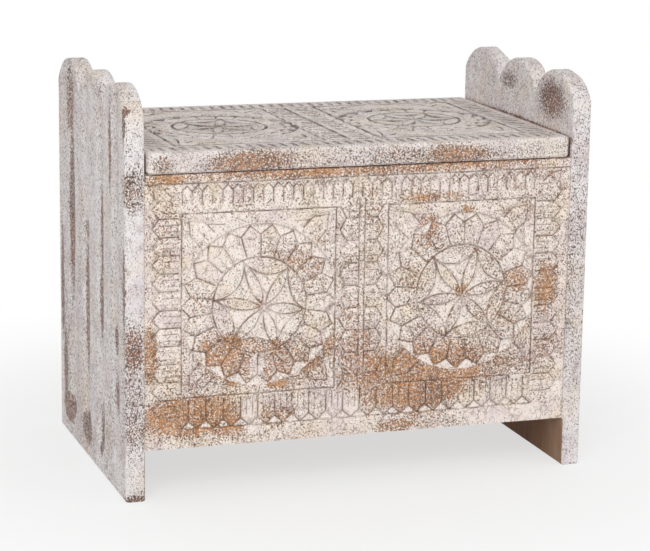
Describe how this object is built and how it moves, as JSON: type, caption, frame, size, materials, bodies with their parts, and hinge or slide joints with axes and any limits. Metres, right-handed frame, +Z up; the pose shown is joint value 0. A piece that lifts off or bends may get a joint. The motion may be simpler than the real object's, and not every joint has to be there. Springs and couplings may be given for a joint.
{
  "type": "carved chest bench",
  "caption": "Low storage bench with carved rosette panels on its front and hinged lid, held between domed side boards that are also its feet; chalky white paint worn back to brown wood.",
  "frame": {"origin": "on the floor, at the middle of the chest's footprint", "axes": "+X along the front to its right-hand end as someone in front sees it, +Y from front to back, +Z up"},
  "size_m": [0.6, 0.365, 0.504],
  "materials": {
    "painted_wood": "chalky white paint, crackled and worn back to brown wood",
    "bare_wood": "unpainted, dry brown wood",
    "hinge_steel": "blackened steel, rubbed at the edges",
    "screw_steel": "dull zinc"
  },
  "bodies": {
    "carcass": {"left_side_board": "painted_wood", "right_side_board": "painted_wood", "front_board": "painted_wood", "back_board": "bare_wood", "floor_board": "bare_wood", "front_cleat": "bare_wood", "back_cleat": "bare_wood", "left_cleat": "bare_wood", "right_cleat": "bare_wood", "left_hinge_box_leaf": "hinge_steel", "right_hinge_box_leaf": "hinge_steel", "left_hinge_pin": "hinge_steel", "right_hinge_pin": "hinge_steel", "box_leaf_screws": "screw_steel", "cleat_screws": "screw_steel", "floor_screws": "screw_steel", "front_dowels": "bare_wood", "back_dowels": "bare_wood"},
    "lid": {"lid_board": "painted_wood", "left_lid_batten": "bare_wood", "right_lid_batten": "bare_wood", "left_hinge_lid_leaf": "hinge_steel", "right_hinge_lid_leaf": "hinge_steel", "lid_leaf_screws": "screw_steel", "batten_screws": "screw_steel"}
  },
  "joints": [
    {"name": "lid_hinge", "type": "hinge", "parent": "carcass", "child": "lid", "pos_m": [0, 0.1605, 0.3987], "axis": [-1, 0, 0], "range_deg": [0, 100]}
  ]
}
